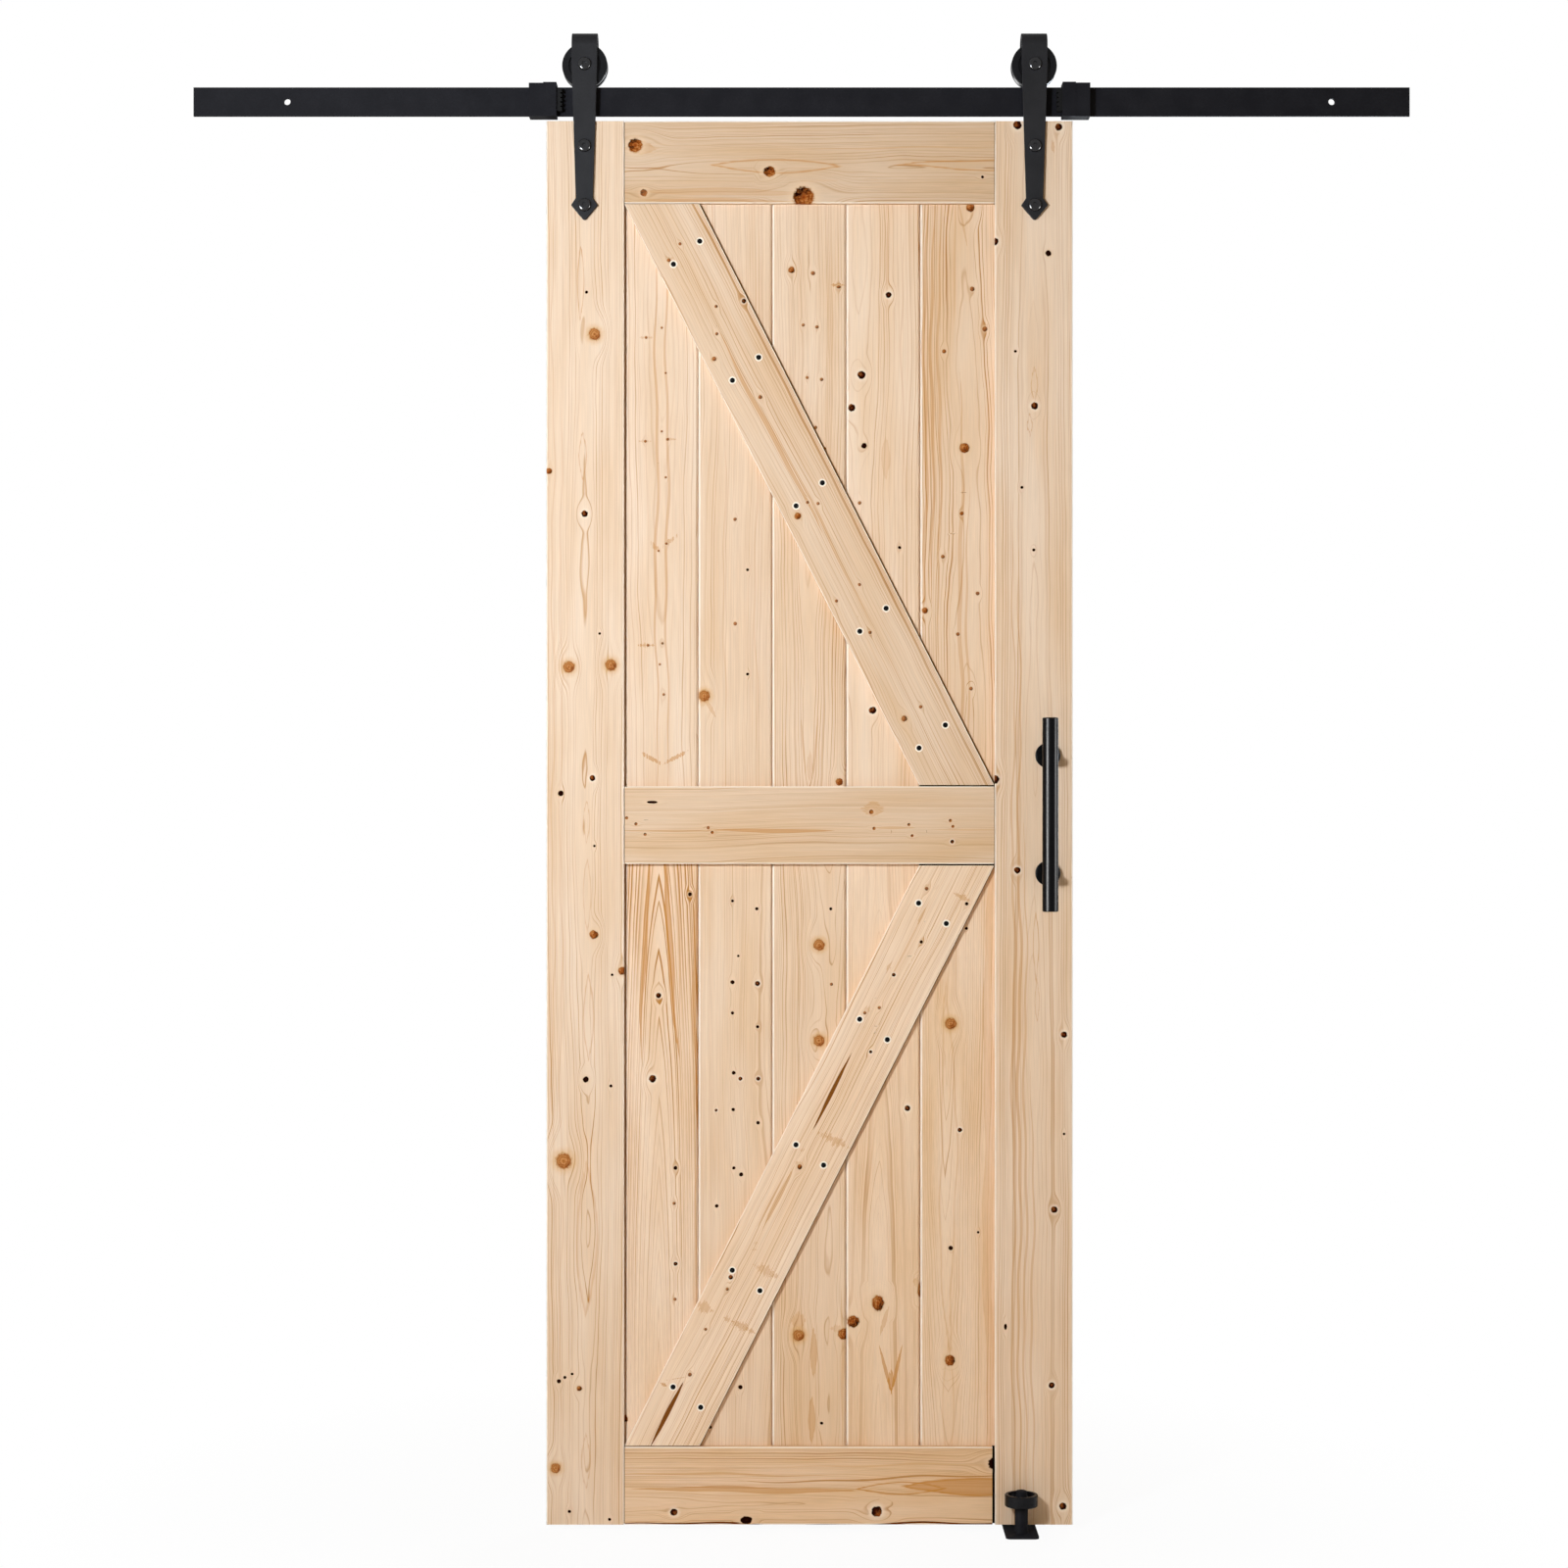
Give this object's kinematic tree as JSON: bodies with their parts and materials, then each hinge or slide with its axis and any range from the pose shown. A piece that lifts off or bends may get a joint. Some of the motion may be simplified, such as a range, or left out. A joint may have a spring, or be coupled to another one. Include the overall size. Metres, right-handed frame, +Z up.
{
  "type": "sliding barn door",
  "caption": "Sliding barn door: framed plank leaf with diagonal braces on strap hangers, with flat track, stops, bar pull and roller floor guide.",
  "frame": {"origin": "on the wall face of the left wall spacer, on its ring, level with the bolt hole and 8 mm left of it", "axes": "+X to the right along the track, +Y back into the wall, +Z up"},
  "size_m": [1.854, 0.1474, 2.2791],
  "materials": {
    "knotty_spruce": "planed, unfinished",
    "black_steel": "black powder coat",
    "black_nylon": "satin",
    "black_rubber": "matt"
  },
  "bodies": {
    "track": {"track_rail": "black_steel", "left_wall_spacer": "black_steel", "right_wall_spacer": "black_steel", "left_stop_clamp": "black_steel", "left_stop_bumper": "black_rubber", "floor_guide_plate": "black_steel", "front_guide_post": "black_steel", "back_guide_post": "black_steel"},
    "door": {"left_stile": "knotty_spruce", "right_stile": "knotty_spruce", "top_rail": "knotty_spruce", "middle_rail": "knotty_spruce", "bottom_rail": "knotty_spruce", "upper_plank_1": "knotty_spruce", "upper_plank_2": "knotty_spruce", "upper_plank_3": "knotty_spruce", "upper_plank_4": "knotty_spruce", "upper_plank_5": "knotty_spruce", "lower_plank_1": "knotty_spruce", "lower_plank_2": "knotty_spruce", "lower_plank_3": "knotty_spruce", "lower_plank_4": "knotty_spruce", "lower_plank_5": "knotty_spruce", "upper_brace": "knotty_spruce", "lower_brace": "knotty_spruce", "left_hanger_strap": "black_steel", "right_hanger_strap": "black_steel", "left_axle_bolt": "black_steel", "right_axle_bolt": "black_steel", "left_upper_hanger_bolt": "black_steel", "left_lower_hanger_bolt": "black_steel", "right_upper_hanger_bolt": "black_steel", "right_lower_hanger_bolt": "black_steel", "pull_bar": "black_steel", "upper_pull_post": "black_steel", "lower_pull_post": "black_steel"},
    "right_stop": {"right_stop_clamp": "black_steel", "right_stop_bumper": "black_rubber"},
    "left_wheel": {"left_wheel": "black_nylon"},
    "right_wheel": {"right_wheel": "black_nylon"},
    "front_guide_roller": {"front_guide_roller": "black_nylon"},
    "back_guide_roller": {"back_guide_roller": "black_nylon"}
  },
  "joints": [
    {"name": "door_slide", "type": "slide", "parent": "track", "child": "door", "axis": [1, 0, 0], "range_m": [0, 0.49]},
    {"name": "right_stop_slide", "type": "slide", "parent": "track", "child": "right_stop", "axis": [1, 0, 0], "range_m": [0, 0.4805]},
    {"name": "left_wheel_roll", "type": "hinge", "parent": "door", "child": "left_wheel", "pos_m": [0.064, -0.041, 0.0535], "axis": [0, 1, 0], "continuous": true},
    {"name": "right_wheel_roll", "type": "hinge", "parent": "door", "child": "right_wheel", "pos_m": [0.748, -0.041, 0.0535], "axis": [0, 1, 0], "continuous": true},
    {"name": "front_roller_turn", "type": "hinge", "parent": "track", "child": "front_guide_roller", "pos_m": [0.726, -0.0804, -2.125], "axis": [0, 0, 1], "continuous": true},
    {"name": "back_roller_turn", "type": "hinge", "parent": "track", "child": "back_guide_roller", "pos_m": [0.726, 0.0054, -2.125], "axis": [0, 0, 1], "continuous": true}
  ],
  "couplings": [
    {"joint": "right_stop_slide", "follows": "door_slide", "ratio": 0.98},
    {"joint": "left_wheel_roll", "follows": "door_slide", "rad_per_m": 31.949},
    {"joint": "right_wheel_roll", "follows": "door_slide", "rad_per_m": 31.949},
    {"joint": "front_roller_turn", "follows": "door_slide", "rad_per_m": -40},
    {"joint": "back_roller_turn", "follows": "door_slide", "rad_per_m": 40}
  ]
}
